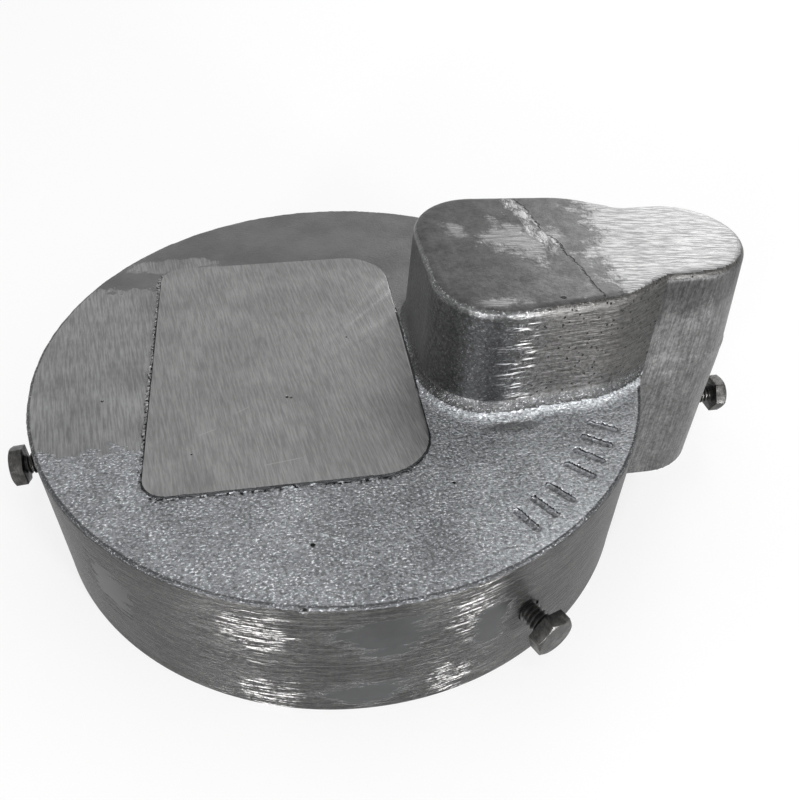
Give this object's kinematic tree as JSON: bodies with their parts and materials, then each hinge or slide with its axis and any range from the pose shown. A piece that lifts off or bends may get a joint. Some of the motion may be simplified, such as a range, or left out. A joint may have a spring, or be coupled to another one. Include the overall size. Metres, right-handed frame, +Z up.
{
  "type": "cast well cap housing",
  "caption": "Round sand-cast aluminium well cap that drops over a casing, with a raised wire passage, a conduit hub beside the skirt and hex head set screws.",
  "frame": {"origin": "on the axis of the casing bore, in the plane of the skirt's lower rim", "axes": "+Z up along the casing bore from the lower rim to the disc, +X towards the conduit hub"},
  "size_m": [0.2378, 0.1862, 0.081],
  "materials": {
    "cast_aluminium": "as cast with ground and rubbed areas",
    "zinc_plated_steel": "dull zinc plate"
  },
  "bodies": {
    "casting": {"cap_casting": "cast_aluminium"},
    "casing_screw_1": {"casing_screw_1": "zinc_plated_steel"},
    "casing_screw_2": {"casing_screw_2": "zinc_plated_steel"},
    "casing_screw_3": {"casing_screw_3": "zinc_plated_steel"},
    "conduit_screw": {"conduit_screw": "zinc_plated_steel"}
  },
  "joints": [
    {"name": "casing_screw_1_travel", "type": "slide", "parent": "casting", "child": "casing_screw_1", "axis": [-0.4384, 0.8988, 0], "range_m": [-0.0045, 0.0055]},
    {"name": "casing_screw_2_travel", "type": "slide", "parent": "casting", "child": "casing_screw_2", "axis": [-0.4848, -0.8746, 0], "range_m": [-0.0045, 0.0055]},
    {"name": "casing_screw_3_travel", "type": "slide", "parent": "casting", "child": "casing_screw_3", "axis": [0.9945, 0.1045, 0], "range_m": [-0.0045, 0.0055]},
    {"name": "conduit_screw_travel", "type": "slide", "parent": "casting", "child": "conduit_screw", "axis": [-1, 0, 0], "range_m": [-0.0045, 0.0055]}
  ]
}
